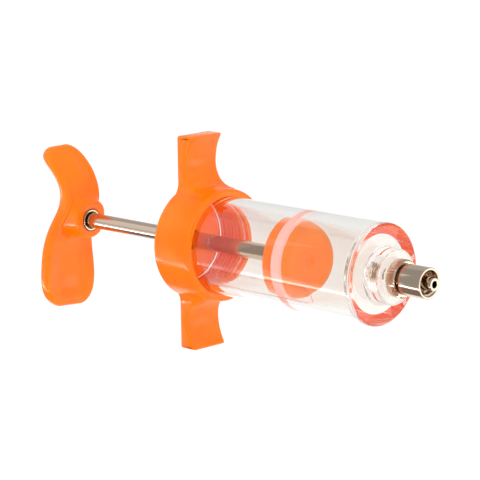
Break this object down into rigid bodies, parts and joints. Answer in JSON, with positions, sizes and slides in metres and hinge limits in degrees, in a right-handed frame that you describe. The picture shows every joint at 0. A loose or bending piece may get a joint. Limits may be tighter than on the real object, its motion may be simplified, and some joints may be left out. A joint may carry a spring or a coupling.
{
  "type": "veterinary syringe",
  "caption": "Reusable plunger syringe with a clear thick-walled barrel, a screwed finger cap with two wings, a palm handle on a metal rod and a Luer lock nozzle.",
  "frame": {"origin": "centre of the object's box, on the syringe's axis, with the plunger as pictured", "axes": "+X along the axis to the nozzle, +Z along the upper finger wing"},
  "size_m": [0.167, 0.0366, 0.0692],
  "materials": {
    "clear_plastic": "clear, polished",
    "orange_plastic": "moulded, satin gloss",
    "silicone": "satin",
    "plated_steel": "nickel plated, polished",
    "plated_brass": "nickel plated, polished"
  },
  "bodies": {
    "barrel": {"barrel": "clear_plastic"},
    "cap": {"barrel_cap": "orange_plastic"},
    "seal": {"piston_seal": "silicone"},
    "plunger": {"piston_head": "orange_plastic", "piston_follower": "orange_plastic", "plunger_rod": "plated_steel", "handle_insert": "plated_brass", "plunger_handle": "orange_plastic"},
    "gasket": {"nozzle_gasket": "silicone"},
    "nozzle": {"nozzle_body": "plated_brass", "lock_collar": "plated_brass"}
  },
  "joints": [
    {"name": "cap_unscrew", "type": "slide", "parent": "barrel", "child": "cap", "axis": [-1, 0, 0], "range_m": [0, 0.0105]},
    {"name": "plunger_slide", "type": "slide", "parent": "barrel", "child": "seal", "axis": [1, 0, 0], "range_m": [-0.0398, 0.0242]},
    {"name": "plunger_spin", "type": "hinge", "parent": "seal", "child": "plunger", "pos_m": [0, 0, 0], "axis": [1, 0, 0], "continuous": true},
    {"name": "nozzle_out", "type": "slide", "parent": "barrel", "child": "gasket", "axis": [1, 0, 0], "range_m": [0, 0.0051]},
    {"name": "nozzle_turn", "type": "hinge", "parent": "gasket", "child": "nozzle", "pos_m": [0, 0, 0], "axis": [1, 0, 0], "range_deg": [0, 1800]}
  ],
  "couplings": [
    {"joint": "nozzle_out", "follows": "nozzle_turn", "m_per_rad": 0.00015915}
  ]
}
